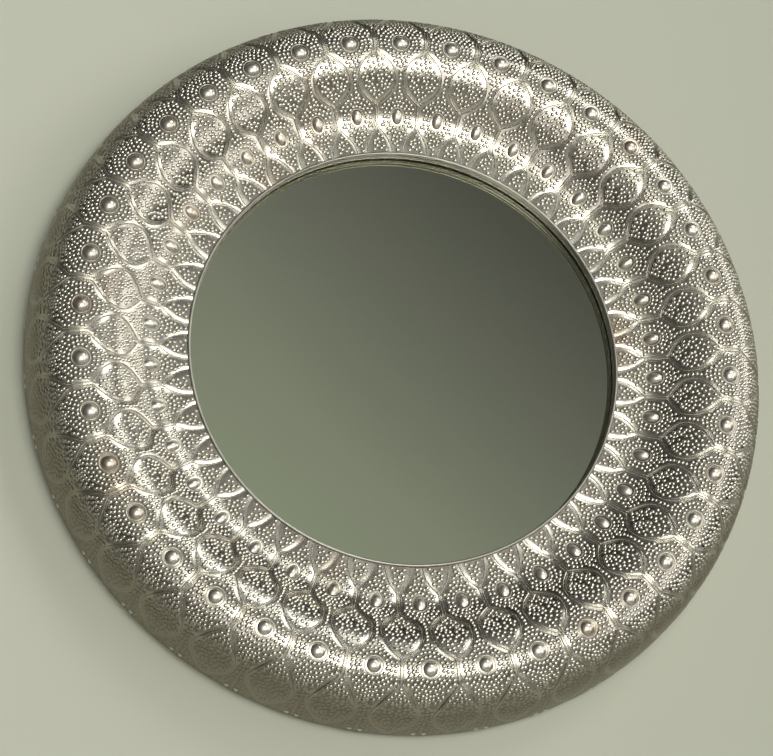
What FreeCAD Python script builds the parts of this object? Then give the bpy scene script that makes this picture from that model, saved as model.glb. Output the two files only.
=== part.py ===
import FreeCAD, Part
import math
import os

os.makedirs("parts", exist_ok=True)

# Round wall mirror: an embossed sheet-metal frame over a laminated wooden core, with a round
# mirror pane, its backing and its wall hanger. Millimetres. X is to the right, Z is up, and
# the wall is the plane Y = 0. The mirror faces -Y. Depths are measured out from the wall.

# Pane and what lies behind it
wall_gap = 3.0
glass_thickness = 3.0
padding_thickness = 10.0
backing_thickness = 6.0
sight_radius = 172.8
glass_overlap = 6.2
rebate_clearance = 2.0
board_clearance = 1.0

# Moulded face of the frame, from its inner lip over the crown to the rim
lip_height = 9.0
crown_height = 39.0
crown_run = 85.1
shoulder_run = 39.5
lip_steepness_share = 0.2
cove_steepness_share = 2.26
cove_tangent_share = 0.585
brow_run_share = 0.4125
shoulder_radius_share = 0.84

# Embossed sheet and its bosses
sheet_thickness = 0.6
glue_gap = 0.2
hem_width = 12.0
pattern_count = 38
pattern_phase = 2.4
boss_height = 2.2
round_boss_radius = 4.8
oval_boss_half_width = 4.5
oval_boss_half_length = 6.0
oval_boss_arc_share = 0.49

# Plain liner band between sheet and pane, with a full bead at its edge and a half-round bead
# near its foot
liner_thickness = 1.0
bead_radius = 1.2
bead_gap = 0.2
foot_bead_radius = 0.9
foot_bead_height = 3.7
liner_foot_gap = 0.2

# Wooden core
lip_ring_thickness = 13.0
middle_ring_thickness = 13.0

# Ring screws, from the back through the back ring into the core
ring_screw_count = 8
ring_screw_circle = 240.0
ring_screw_length = 40.0
ring_screw_shank = 2.0
ring_screw_head = 4.0
ring_screw_sink = 0.3

# Cover tacks in the rear hem
tack_count = 38
tack_head_radius = 2.5
tack_head_height = 0.8
tack_shank = 0.7
tack_length = 9.0

# Rim pins, in pairs round the side near the wall
rim_pin_height = 6.5
rim_pin_pair_spacing = 8.0
rim_pin_head_radius = 1.9
rim_pin_head_height = 1.1
rim_pin_shank = 0.7
rim_pin_length = 10.0

# Liner pins
liner_pin_count = 102
liner_pin_height = 1.5
liner_pin_head_radius = 1.1
liner_pin_head_height = 0.6
liner_pin_shank = 0.5
liner_pin_length = 6.0

# Spacers round the edge of the pane
spacer_count = 6
spacer_angle = 6.0
spacer_clearance = 0.1

# Turn buttons that hold the backing board
button_count = 4
button_first_angle = 45.0
button_setback = 9.0
button_reach = 26.0
button_tail = 8.0
button_half_width = 5.0
button_thickness = 1.2
button_play = 0.15
pivot_clearance = 0.08
button_screw_shank = 1.75
button_screw_length = 11.0
button_screw_head = 3.5
button_screw_head_height = 1.2

# Hanger: a strap with a D-shaped ring in a routed pocket
hanger_inset = 48.0
strap_thickness = 1.6
strap_width = 13.0
strap_length = 36.0
loop_wall = 1.1
ring_wire = 1.25
ring_half_width = 11.0
ring_straight_half = 7.5
ring_side_height = 8.0
pocket_half_width = 17.0
pocket_above = 25.0
pocket_below = 42.0
pocket_depth = 7.0
pocket_corner = 5.0
hook_well_half_width = 10.0
hook_well_low = 2.5
hook_well_high = 20.0
hook_well_depth = 5.0
hook_well_corner = 3.0
hanger_screw_shank = 1.75
hanger_screw_length = 7.5
hanger_screw_head = 3.2
hanger_screw_head_height = 1.2
hanger_screw_first = 12.0
hanger_screw_spacing = 15.0

# Wall bumpers
bumper_radius = 8.0
bumper_circle = 268.0
bumper_angles = (35.0, 145.0, 215.0, 325.0)

# Cross recess of the pan-head screws, as shares of the head
recess_length_share = 1.1
recess_width_share = 0.24
recess_depth_share = 0.6

# General clearances and one overrun for all cuts
hole_clearance = 0.05
overrun = 1.0

# Sizes that follow from the ones above
glass_depth = wall_gap + backing_thickness + padding_thickness + glass_thickness
glass_radius = sight_radius + glass_overlap
rebate_radius = glass_radius + rebate_clearance
lip_radius = sight_radius + 2 * bead_radius + bead_gap
crown_radius = lip_radius + crown_run
outer_radius = crown_radius + shoulder_run
lip_depth = glass_depth + lip_height
crown_depth = glass_depth + crown_height
liner_inner = sight_radius + bead_radius - liner_thickness / 2
liner_outer = liner_inner + liner_thickness
liner_seat = liner_outer + glue_gap
bead_depth = lip_depth - bead_gap
core_inset = sheet_thickness + glue_gap
hem_rear_depth = wall_gap - sheet_thickness
lip_ring_front = glass_depth + lip_ring_thickness
middle_ring_front = lip_ring_front + middle_ring_thickness


def at(radius, depth):
    """Point of a cross-section, at a radius from the mirror's axis and a depth out from the wall."""
    return FreeCAD.Vector(radius, -depth, 0)


def normal(angle):
    """Unit direction in the cross-section: 0 degrees faces the room, 90 faces outwards."""
    turn = math.radians(angle)
    return FreeCAD.Vector(math.sin(turn), -math.cos(turn), 0)


def arc(centre, radius, first, last):
    """Arc between two normal angles. A negative radius gives a hollow arc, centred in the room."""
    points = [centre + normal(angle) * radius for angle in (first, (first + last) / 2, last)]
    return Part.Arc(*points).toShape()


def line(first, last):
    return Part.LineSegment(first, last).toShape()


def spun(edges):
    """Solid turned about the mirror's axis from the edges of a closed cross-section."""
    face = Part.Face(Part.Wire(edges))
    return face.revolve(FreeCAD.Vector(0, 0, 0), FreeCAD.Vector(0, 1, 0), 360)


def spun_outline(points):
    """Solid turned from straight-sided corners, each a radius and a depth."""
    corners = [at(*point) for point in points]
    return spun([line(a, b) for a, b in zip(corners, corners[1:] + corners[:1])])


def disc(radius, rear, front):
    return Part.makeCylinder(radius, front - rear, at(0, front), FreeCAD.Vector(0, 1, 0))


def around(shape, angle):
    """Copy turned about the mirror's axis, anticlockwise as seen from the room."""
    turned = shape.copy()
    turned.rotate(FreeCAD.Vector(0, 0, 0), FreeCAD.Vector(0, 1, 0), -angle)
    return turned


def circle_of(shape, angles):
    return [around(shape, angle) for angle in angles]


def even_angles(count, first=0.0):
    return [first + index * 360.0 / count for index in range(count)]


def moved(shape, x, y, z):
    copy = shape.copy()
    copy.translate(FreeCAD.Vector(x, y, z))
    return copy


def write(name, shape):
    solids = shape if isinstance(shape, list) else [shape]
    whole = Part.Compound(solids) if len(solids) > 1 else solids[0]
    whole.exportStep("parts/" + name + ".step")
    print(name, len(whole.Solids), whole.isValid(), round(whole.Volume, 1))


# Moulded face: a nearly flat lip, a hollow cove, a rounded brow up to the crown, a tighter
# shoulder and a long flank that meets the rear face square to the wall. The two straight
# stretches are worked out first, and the cove joins them.
crown_rise = crown_height - lip_height
lip_angle = -math.degrees(math.atan(lip_steepness_share * crown_rise / crown_run))
cove_angle = -math.degrees(math.atan(cove_steepness_share * crown_rise / crown_run))
brow_radius = brow_run_share * crown_run / math.sin(math.radians(-cove_angle))
brow_centre = at(crown_radius, crown_depth - brow_radius)
brow_start = brow_centre + normal(cove_angle) * brow_radius
lip_start = at(lip_radius, lip_depth)
lip_slope = math.tan(math.radians(-lip_angle))
cove_slope = math.tan(math.radians(-cove_angle))
brow_rise = -brow_start.y - lip_depth
corner_run = (cove_slope * (brow_start.x - lip_radius) - brow_rise) / (cove_slope - lip_slope)
cove_corner = at(lip_radius + corner_run, lip_depth + lip_slope * corner_run)
cove_tangent = cove_tangent_share * (brow_start - cove_corner).Length
cove_radius = cove_tangent / math.tan(math.radians((lip_angle - cove_angle) / 2))
cove_start = cove_corner - (cove_corner - lip_start).normalize() * cove_tangent
cove_centre = cove_start + normal(lip_angle) * cove_radius
shoulder_radius = shoulder_radius_share * shoulder_run
shoulder_centre = at(crown_radius, crown_depth - shoulder_radius)
shoulder_drop = crown_depth - wall_gap - shoulder_radius
shoulder_excess = shoulder_run ** 2 + shoulder_drop ** 2 - shoulder_radius ** 2
flank_radius = shoulder_excess / (2 * (shoulder_run - shoulder_radius))
flank_centre = at(outer_radius - flank_radius, wall_gap)
centre_line = shoulder_centre - flank_centre
flank_angle = math.degrees(math.atan2(centre_line.x, -centre_line.y))


def moulded_face(inset):
    """Edges of the moulded face from lip to rim, set inwards by inset."""
    lip_end = cove_centre - normal(lip_angle) * (cove_radius + inset)
    cove_end = cove_centre - normal(cove_angle) * (cove_radius + inset)
    brow_foot = brow_centre + normal(cove_angle) * (brow_radius - inset)
    lip_edge = at(lip_radius, -lip_end.y - lip_slope * (lip_end.x - lip_radius))
    return [
        line(lip_edge, lip_end),
        arc(cove_centre, -(cove_radius + inset), lip_angle, cove_angle),
        line(cove_end, brow_foot),
        arc(brow_centre, brow_radius - inset, cove_angle, 0),
        arc(shoulder_centre, shoulder_radius - inset, 0, flank_angle),
        arc(flank_centre, flank_radius - inset, flank_angle, 90),
    ]


def face_ends(inset):
    """First and last point of the moulded face."""
    edges = moulded_face(inset)
    return edges[0].Vertexes[0].Point, at(outer_radius - inset, wall_gap)


def sphere_radius(half_width, height):
    """Radius of the ball whose cap has this half width and height."""
    return (half_width ** 2 + height ** 2) / (2 * height)


def round_boss(inset):
    """Ball under a round boss, on the crown at the right-hand side."""
    radius = sphere_radius(round_boss_radius, boss_height)
    return Part.makeSphere(radius - inset, at(crown_radius, crown_depth + boss_height - radius))


def oval_boss(inset):
    """Egg under an oval boss: a half ellipse spun about its long axis, which runs up the cove."""
    angle = lip_angle + oval_boss_arc_share * (cove_angle - lip_angle)
    short = sphere_radius(oval_boss_half_width, boss_height)
    long = short * oval_boss_half_length / oval_boss_half_width
    along = FreeCAD.Vector(-normal(angle).y, normal(angle).x, 0)
    centre = cove_centre - normal(angle) * (cove_radius + short - boss_height)
    ellipse = Part.Ellipse(centre + along * (long - inset), centre + normal(angle) * (short - inset), centre)
    half = Part.Arc(ellipse, 0, math.pi).toShape()
    closed = line(half.Vertexes[-1].Point, half.Vertexes[0].Point)
    return Part.Face(Part.Wire([half, closed])).revolve(centre, along, 360)


def sheet_bulk(inset, rear_edges):
    """Everything under the embossed face at this inset, bosses included."""
    first, last = face_ends(inset)
    bulk = spun(moulded_face(inset) + rear_edges(first, last))
    bosses = circle_of(round_boss(inset), even_angles(pattern_count, 90 + pattern_phase))
    bosses += circle_of(oval_boss(inset), even_angles(pattern_count, 90 + pattern_phase))
    return bulk.fuse(bosses)


def hemmed_rear(first, last):
    hem_rear = at(outer_radius, hem_rear_depth)
    hem_edge = at(outer_radius - hem_width, hem_rear_depth)
    hem_end = at(outer_radius - hem_width, wall_gap)
    foot = at(lip_radius, wall_gap)
    corners = [last, hem_rear, hem_edge, hem_end, foot, first]
    return [line(a, b) for a, b in zip(corners, corners[1:])]


def flat_rear(first, last):
    foot = at(lip_radius, wall_gap)
    return [line(last, foot), line(foot, first)]


# Fasteners are drawn along Y with the head towards +Y and its seat at the origin
def pin(head_radius, head_height, shank_radius, length):
    """Round-headed pin with a pointed shank."""
    ball = sphere_radius(head_radius, head_height)
    spread = math.degrees(math.asin(min(1.0, head_radius / ball)))
    centre = FreeCAD.Vector(0, head_height - ball, 0)
    cap = [centre + normal(180 - angle) * ball for angle in (0, spread / 2, spread)]
    corners = [
        cap[2],
        at(shank_radius, 0),
        at(shank_radius, length - 2 * shank_radius),
        at(0, length),
        cap[0],
    ]
    return spun([Part.Arc(*cap).toShape()] + [line(a, b) for a, b in zip(corners, corners[1:])])


def recessed(screw, head_radius, head_height):
    """Screw with a cross recess in its head."""
    reach = head_radius * recess_length_share
    width = head_radius * recess_width_share
    depth = head_height * recess_depth_share
    for x, z in ((reach, width), (width, reach)):
        corner = FreeCAD.Vector(-x / 2, head_height - depth, -z / 2)
        screw = screw.cut(Part.makeBox(x, depth + overrun, z, corner))
    return screw


def countersunk(shank_radius, head_radius, length, extra):
    """Countersunk screw, or its hole when extra is the hole's clearance."""
    return spun_outline([
        (0, 0),
        (head_radius + extra, 0),
        (shank_radius + extra, head_radius - shank_radius),
        (shank_radius + extra, length - 2 * shank_radius),
        (0, length + extra),
    ])


def bore(shank_radius, length):
    """Hole for a shank, open at the seat."""
    radius = shank_radius + hole_clearance
    return Part.makeCylinder(radius, length + hole_clearance + overrun,
                             FreeCAD.Vector(0, -length - hole_clearance, 0), FreeCAD.Vector(0, 1, 0))


def seated(shape, angle, seat):
    """Fastener on the right-hand side with its head towards a normal angle."""
    turned = shape.copy()
    turned.rotate(FreeCAD.Vector(0, 0, 0), FreeCAD.Vector(0, 0, 1), 180 + angle)
    return moved(turned, *seat)


def facing_wall(shape, x, depth, z):
    return moved(shape, x, -depth, z)


# Places of the fasteners
tack_circle = outer_radius - hem_width / 2
tack_angles = even_angles(tack_count, 90 + pattern_phase)
rim_pin_tilt = 90 - math.degrees(math.asin(rim_pin_height / flank_radius))
rim_pin_seat = flank_centre + normal(rim_pin_tilt) * flank_radius
rim_pin_half_angle = math.degrees(rim_pin_pair_spacing / outer_radius) / 2
rim_pin_angles = [angle + side * rim_pin_half_angle
                  for angle in even_angles(pattern_count, 90 + pattern_phase) for side in (-1, 1)]
liner_pin_seat = at(liner_inner, glass_depth + liner_pin_height)
liner_pin_angles = even_angles(liner_pin_count)
ring_screw_angles = even_angles(ring_screw_count, 180.0 / ring_screw_count)
ring_screw_depth = wall_gap + ring_screw_sink
button_circle = rebate_radius + button_setback
button_angles = even_angles(button_count, button_first_angle)
button_rear = wall_gap - button_play - button_thickness
pocket_floor = wall_gap + pocket_depth
loop_radius = ring_wire + pivot_clearance + loop_wall
hanger_depth = pocket_floor - loop_radius
strap_rear = pocket_floor - strap_thickness
hanger_height = outer_radius - hanger_inset
hanger_screw_first_height = hanger_height - hanger_screw_first
hanger_screw_heights = [hanger_screw_first_height, hanger_screw_first_height - hanger_screw_spacing]


def rounded_block(half_width, low, high, rear, front, corner):
    """Block with rounded upright corners, centred on the mirror's upright line."""
    block = Part.makeBox(2 * half_width, front - rear, high - low, FreeCAD.Vector(-half_width, -front, low))
    upright = [edge for edge in block.Edges
               if abs(edge.Vertexes[0].Point.y - edge.Vertexes[-1].Point.y) > (front - rear) / 2]
    return block.makeFillet(corner, upright)


# Holes for the fasteners that pass through more than one piece
def tack_holes():
    return circle_of(facing_wall(bore(tack_shank, tack_length), tack_circle, hem_rear_depth, 0), tack_angles)


def rim_pin_holes():
    return circle_of(seated(bore(rim_pin_shank, rim_pin_length), rim_pin_tilt, rim_pin_seat), rim_pin_angles)


def liner_pin_holes():
    return circle_of(seated(bore(liner_pin_shank, liner_pin_length), -90, liner_pin_seat), liner_pin_angles)


# Sheet-metal parts
def embossed_cover():
    outer = sheet_bulk(0, hemmed_rear)
    inner = sheet_bulk(sheet_thickness, flat_rear)
    return outer.cut(inner).cut(tack_holes() + rim_pin_holes())


def sight_liner():
    foot_depth = glass_depth + liner_foot_gap
    foot_bead_depth = glass_depth + foot_bead_height
    foot_bead_reach = math.sqrt(foot_bead_radius ** 2 - (sight_radius + foot_bead_radius - liner_inner) ** 2)
    bead_centre = at(sight_radius + bead_radius, bead_depth)
    bead_reach = math.sqrt(bead_radius ** 2 - (liner_thickness / 2) ** 2)
    points = [
        at(liner_outer, foot_depth),
        at(liner_inner, foot_depth),
        at(liner_inner, foot_bead_depth - foot_bead_reach),
        at(sight_radius, foot_bead_depth),
        at(liner_inner, foot_bead_depth + foot_bead_reach),
        at(liner_inner, bead_depth - bead_reach),
        bead_centre + normal(0) * bead_radius,
        at(liner_outer, bead_depth - bead_reach),
    ]
    foot_bead = Part.Arc(*points[2:5]).toShape()
    edge_bead = Part.Arc(*points[5:8]).toShape()
    straight = [line(points[a], points[b]) for a, b in ((0, 1), (1, 2), (4, 5), (7, 0))]
    profile = Part.__sortEdges__(straight + [foot_bead, edge_bead])
    return spun(profile).cut(liner_pin_holes())


# Wooden core: three glued rings turned to the moulded face, on a plywood back ring
def core_blank():
    first, last = face_ends(core_inset)
    bead_seat = bead_depth - bead_radius - glue_gap
    corners = [last, at(liner_seat, wall_gap), at(liner_seat, bead_seat), at(lip_radius, bead_seat), first]
    blank = spun(moulded_face(core_inset) + [line(a, b) for a, b in zip(corners, corners[1:])])
    screw_hole = countersunk(ring_screw_shank, ring_screw_head, ring_screw_length, hole_clearance)
    screw_hole = facing_wall(screw_hole, ring_screw_circle, ring_screw_depth, 0)
    return blank.cut(circle_of(screw_hole, ring_screw_angles))


def core_layer(blank, rear, front):
    return blank.common(disc(outer_radius + overrun, rear, front))


def hanger_pocket():
    low = hanger_height - pocket_below
    high = hanger_height + pocket_above
    return rounded_block(pocket_half_width, low, high, wall_gap - overrun, pocket_floor, pocket_corner)


def hook_well():
    low = hanger_height + hook_well_low
    high = hanger_height + hook_well_high
    front = pocket_floor + hook_well_depth
    return rounded_block(hook_well_half_width, low, high, wall_gap - overrun, front, hook_well_corner)


def back_ring(blank):
    ring = core_layer(blank, wall_gap, glass_depth)
    ring = ring.cut(disc(rebate_radius, wall_gap - overrun, glass_depth + overrun))
    sunk_heads = Part.makeCylinder(ring_screw_head + hole_clearance, ring_screw_sink + overrun,
                                   at(ring_screw_circle, ring_screw_depth), FreeCAD.Vector(0, 1, 0))
    button_bore = bore(button_screw_shank, button_screw_length)
    cuts = circle_of(sunk_heads, ring_screw_angles) + tack_holes() + rim_pin_holes()
    cuts += circle_of(facing_wall(button_bore, button_circle, button_rear, 0), button_angles)
    cuts += [hanger_pocket(), hook_well()]
    screw_bore = bore(hanger_screw_shank, hanger_screw_length)
    cuts += [facing_wall(screw_bore, 0, strap_rear, z) for z in hanger_screw_heights]
    return ring.cut(cuts)


def core_lip_ring(blank):
    return core_layer(blank, glass_depth, lip_ring_front).cut(liner_pin_holes())


# Pane, spacers and boards
def glass_spacers():
    inner = glass_radius + spacer_clearance
    outer = rebate_radius - spacer_clearance
    rear = glass_depth - glass_thickness
    rim = spun_outline([(inner, rear), (outer, rear), (outer, glass_depth), (inner, glass_depth)])
    axis = FreeCAD.Vector(0, 1, 0)
    wedge = Part.makeCylinder(outer + overrun, glass_thickness, at(0, glass_depth), axis, spacer_angle)
    spacer = rim.common(wedge).Solids[0]
    return circle_of(spacer, even_angles(spacer_count))


# Turn buttons
def turn_button():
    """Rounded strip, reaching inwards over the backing board, on the right-hand side."""
    low = button_circle - button_reach + button_half_width
    high = button_circle + button_tail - button_half_width
    rear = -button_rear

    def corner(x, z):
        return FreeCAD.Vector(x, rear, z)

    edges = [
        line(corner(low, -button_half_width), corner(high, -button_half_width)),
        Part.Arc(corner(high, -button_half_width), corner(high + button_half_width, 0),
                 corner(high, button_half_width)).toShape(),
        line(corner(high, button_half_width), corner(low, button_half_width)),
        Part.Arc(corner(low, button_half_width), corner(low - button_half_width, 0),
                 corner(low, -button_half_width)).toShape(),
    ]
    strip = Part.Face(Part.Wire(edges)).extrude(FreeCAD.Vector(0, -button_thickness, 0))
    pivot = Part.makeCylinder(button_screw_shank + pivot_clearance, button_thickness + 2 * overrun,
                              FreeCAD.Vector(button_circle, rear - button_thickness - overrun, 0),
                              FreeCAD.Vector(0, 1, 0))
    return strip.cut(pivot)


def turn_button_screw():
    screw = pin(button_screw_head, button_screw_head_height, button_screw_shank, button_screw_length)
    screw = recessed(screw, button_screw_head, button_screw_head_height)
    return facing_wall(screw, button_circle, button_rear, 0)


# Hanger
def hanger_strap():
    plate = Part.makeBox(strap_width, strap_thickness, strap_length,
                         FreeCAD.Vector(-strap_width / 2, -pocket_floor, hanger_height - strap_length))
    axis_start = FreeCAD.Vector(-strap_width / 2, -hanger_depth, hanger_height)
    along = FreeCAD.Vector(1, 0, 0)
    loop = Part.makeCylinder(loop_radius, strap_width, axis_start, along)
    eye = Part.makeCylinder(ring_wire + pivot_clearance, strap_width + 2 * overrun,
                            axis_start - along * overrun, along)
    hole = bore(hanger_screw_shank, strap_thickness)
    holes = [facing_wall(hole, 0, strap_rear, z) for z in hanger_screw_heights]
    return plate.fuse(loop).removeSplitter().cut([eye] + holes)


def hanger_ring():
    """D-shaped ring of round wire standing up from the loop: a straight bar, rounded corners and a bow."""
    corner = ring_half_width - ring_straight_half
    depth = -hanger_depth
    up = FreeCAD.Vector(0, 0, 1)
    right = FreeCAD.Vector(1, 0, 0)

    def point(x, z):
        return FreeCAD.Vector(x, depth, hanger_height + z)

    def bend(radius, centre, first, sweep):
        torus = Part.makeTorus(radius, ring_wire, FreeCAD.Vector(0, 0, 0), up, -180, 180, sweep)
        torus.rotate(FreeCAD.Vector(0, 0, 0), up, first)
        torus.rotate(FreeCAD.Vector(0, 0, 0), right, 90)
        torus.translate(centre)
        return torus

    pieces = [Part.makeCylinder(ring_wire, 2 * ring_straight_half, point(-ring_straight_half, 0), right)]
    for side in (-1, 1):
        foot = point(side * ring_half_width, corner)
        pieces.append(Part.makeCylinder(ring_wire, ring_side_height - corner, foot, up))
    pieces.append(bend(corner, point(ring_straight_half, corner), 270, 90))
    pieces.append(bend(corner, point(-ring_straight_half, corner), 180, 90))
    pieces.append(bend(ring_half_width, point(0, ring_side_height), 0, 180))
    return pieces[0].fuse(pieces[1:]).removeSplitter()


def hanger_screws():
    screw = pin(hanger_screw_head, hanger_screw_head_height, hanger_screw_shank, hanger_screw_length)
    screw = recessed(screw, hanger_screw_head, hanger_screw_head_height)
    return [facing_wall(screw, 0, strap_rear, z) for z in hanger_screw_heights]


blank = core_blank()
write("embossed_cover", embossed_cover())
write("sight_liner", sight_liner())
write("core_front_ring", core_layer(blank, middle_ring_front, crown_depth))
write("core_middle_ring", core_layer(blank, lip_ring_front, middle_ring_front))
write("core_lip_ring", core_lip_ring(blank))
write("back_ring", back_ring(blank))

write("mirror_glass", disc(glass_radius, glass_depth - glass_thickness, glass_depth))
write("glass_spacers", glass_spacers())
write("padding_board", disc(rebate_radius - board_clearance, wall_gap + backing_thickness,
                            glass_depth - glass_thickness))
write("backing_board", disc(rebate_radius - board_clearance, wall_gap, wall_gap + backing_thickness))

for number, angle in enumerate(button_angles, 1):
    write("turn_button_" + str(number), around(turn_button(), angle))
write("turn_button_screws", circle_of(turn_button_screw(), button_angles))

write("hanger_strap", hanger_strap())
write("hanger_ring", hanger_ring())
write("hanger_screws", hanger_screws())

ring_screw = countersunk(ring_screw_shank, ring_screw_head, ring_screw_length, 0)
ring_screw = facing_wall(ring_screw, ring_screw_circle, ring_screw_depth, 0)
write("ring_screws", circle_of(ring_screw, ring_screw_angles))
cover_tack = pin(tack_head_radius, tack_head_height, tack_shank, tack_length)
write("cover_tacks", circle_of(facing_wall(cover_tack, tack_circle, hem_rear_depth, 0), tack_angles))
rim_pin = pin(rim_pin_head_radius, rim_pin_head_height, rim_pin_shank, rim_pin_length)
write("rim_pins", circle_of(seated(rim_pin, rim_pin_tilt, rim_pin_seat), rim_pin_angles))
liner_pin = pin(liner_pin_head_radius, liner_pin_head_height, liner_pin_shank, liner_pin_length)
write("liner_pins", circle_of(seated(liner_pin, -90, liner_pin_seat), liner_pin_angles))
bumper = Part.makeCylinder(bumper_radius, wall_gap, at(bumper_circle, wall_gap), FreeCAD.Vector(0, 1, 0))
write("wall_bumpers", circle_of(bumper, bumper_angles))

print("outer radius", outer_radius, "crown depth", crown_depth, "cove radius", round(cove_radius, 2))
print("flank radius", round(flank_radius, 2), "hanger depth", round(hanger_depth, 3))
print("button circle", button_circle, "lip radius", lip_radius, "cove start", cove_start)
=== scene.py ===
"""Round wall mirror with an embossed metal frame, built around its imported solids."""

import math
import random

import bmesh
import bpy
from mathutils import Matrix, Vector, noise


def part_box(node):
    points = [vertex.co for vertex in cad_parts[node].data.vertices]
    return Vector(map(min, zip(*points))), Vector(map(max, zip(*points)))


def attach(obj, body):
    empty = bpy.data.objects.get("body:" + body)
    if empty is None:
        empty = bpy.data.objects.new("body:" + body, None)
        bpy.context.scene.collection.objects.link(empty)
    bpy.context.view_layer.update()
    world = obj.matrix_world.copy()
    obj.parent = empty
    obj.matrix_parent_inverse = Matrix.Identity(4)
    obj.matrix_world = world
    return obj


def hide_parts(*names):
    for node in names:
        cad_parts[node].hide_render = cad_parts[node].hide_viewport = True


bl_info = {
    "name": "Round Wall Mirror",
    "version": (1, 0, 0),
    "blender": (4, 5, 0),
    "location": "3D View > Sidebar > Wall Mirror",
    "description": "Builds a round wall mirror in an embossed metal frame",
    "category": "Add Mesh",
}

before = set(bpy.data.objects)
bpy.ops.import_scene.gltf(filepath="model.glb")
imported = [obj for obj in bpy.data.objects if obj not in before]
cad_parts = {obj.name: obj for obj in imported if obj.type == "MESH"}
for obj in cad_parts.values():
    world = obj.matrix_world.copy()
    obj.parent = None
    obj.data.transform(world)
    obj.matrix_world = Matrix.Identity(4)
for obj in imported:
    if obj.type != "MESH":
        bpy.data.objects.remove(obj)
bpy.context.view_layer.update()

BODY = "root_frame"
FULL_TURN = 2 * math.pi
AXIS = Vector((0, 1, 0))
MILLIMETRE = 0.001


# Kinds of setting, each with its name, default and description
def length(name, default, description):
    return bpy.props.FloatProperty(
        name=name, default=default, description=description, unit="LENGTH", precision=5
    )


def share(name, default, description):
    return bpy.props.FloatProperty(
        name=name, default=default, description=description, subtype="FACTOR"
    )


def angle(name, default, description):
    return bpy.props.FloatProperty(
        name=name, default=math.radians(default), description=description, unit="ROTATION"
    )


def count(name, default, description):
    return bpy.props.IntProperty(name=name, default=default, description=description, min=1)


def colour(name, default, description):
    return bpy.props.FloatVectorProperty(
        name=name, default=default, description=description, subtype="COLOR", min=0, max=1
    )


def place(name, default, description):
    return bpy.props.FloatVectorProperty(
        name=name, default=default, description=description, subtype="TRANSLATION", unit="LENGTH"
    )


def power(name, default, description):
    return bpy.props.FloatProperty(
        name=name, default=default, description=description, unit="POWER"
    )


class MouldingSettings(bpy.types.PropertyGroup):
    """Cross-section of the embossed face."""

    lip_radius: length("Lip radius", 0.1754, "Inner edge of the embossed sheet")
    lip_depth: length("Lip depth", 0.031, "Distance of the lip from the wall")
    crown_radius: length("Crown radius", 0.2605, "Radius of the highest line of the face")
    crown_depth: length("Crown depth", 0.061, "Distance of the crown from the wall")
    rim_radius: length("Rim radius", 0.3, "Outer edge of the frame")
    rim_depth: length("Rim depth", 0.003, "Distance of the rim from the wall")
    lip_steepness: share("Lip steepness", 0.2, "Slope of the lip against the mean slope")
    cove_steepness: share("Cove steepness", 2.26, "Slope above the cove against the mean slope")
    cove_tangent: share("Cove tangent", 0.585, "Part of the slope that the cove takes up")
    brow_run: share("Brow run", 0.4125, "Part of the inner half that the brow takes up")
    shoulder: share("Shoulder", 0.84, "Shoulder radius against the run of the outer half")
    sheet: length("Sheet", 0.0006, "Thickness of the embossed sheet")
    hem: length("Hem", 0.012, "Width of the sheet that is folded on to the back")


class LatticeSettings(bpy.types.PropertyGroup):
    """Layout of the embossed pattern."""

    columns: count("Columns", 38, "Bosses in each ring")
    phase: angle("Phase", 92.4, "Place of the first column, anticlockwise from the right")
    oval_share: share("Oval ring", 0.49, "Place of the oval bosses along the hollow of the face")
    inner_row: length("Inner row", 0.031, "Distance between rows on the inner half")
    outer_row: length("Outer row", 0.043, "Distance between rows on the outer half")
    neck: share("Neck", 0.028, "Half the gap between two bands that run side by side")
    flank_start: share("Flank", 0.6, "Place along the face where the relief begins to flatten")
    flank_height: share("Flank relief", 0.25, "Height of the relief at the rim")
    groove_width: length("Groove width", 0.0018, "Half width of the smooth band")
    groove_depth: length("Groove depth", 0.00035, "Depth of the smooth band")
    wobble: length("Wobble", 0.00014, "Unevenness of the hand-worked sheet")
    wobble_scale: length("Wobble scale", 0.011, "Distance over which the unevenness changes")
    seed: count("Seed", 5, "Seed of the unevenness")


class BeadSettings(bpy.types.PropertyGroup):
    """Small domes that fill the cells."""

    radius: length("Radius", 0.0018, "Half width of a bead")
    height: length("Height", 0.001, "Height of a bead above the sheet")
    pitch: length("Pitch", 0.00345, "Distance between neighbouring beads")
    boss_clear: length("Clearance at bosses", 0.0029, "Distance from a ridge, in a boss cell")
    plain_clear: length("Clearance between", 0.0035, "Distance from a ridge, in a plain cell")
    spread: share("Spread", 0.1, "Variation of place and size from bead to bead")
    seed: count("Seed", 7, "Seed of the variation")


class BossSettings(bpy.types.PropertyGroup):
    """Large bosses in the middle of the cells."""

    round_radius: length("Round boss", 0.006, "Radius of a boss on the crown")
    oval_half_width: length("Oval boss width", 0.0046, "Half width of a boss in the hollow")
    oval_half_length: length("Oval boss length", 0.0064, "Half length of a boss in the hollow")
    height: length("Height", 0.00215, "Height of a boss above the sheet")
    moat: length("Moat", 0.0013, "Width of the smooth ring round a boss")


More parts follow.
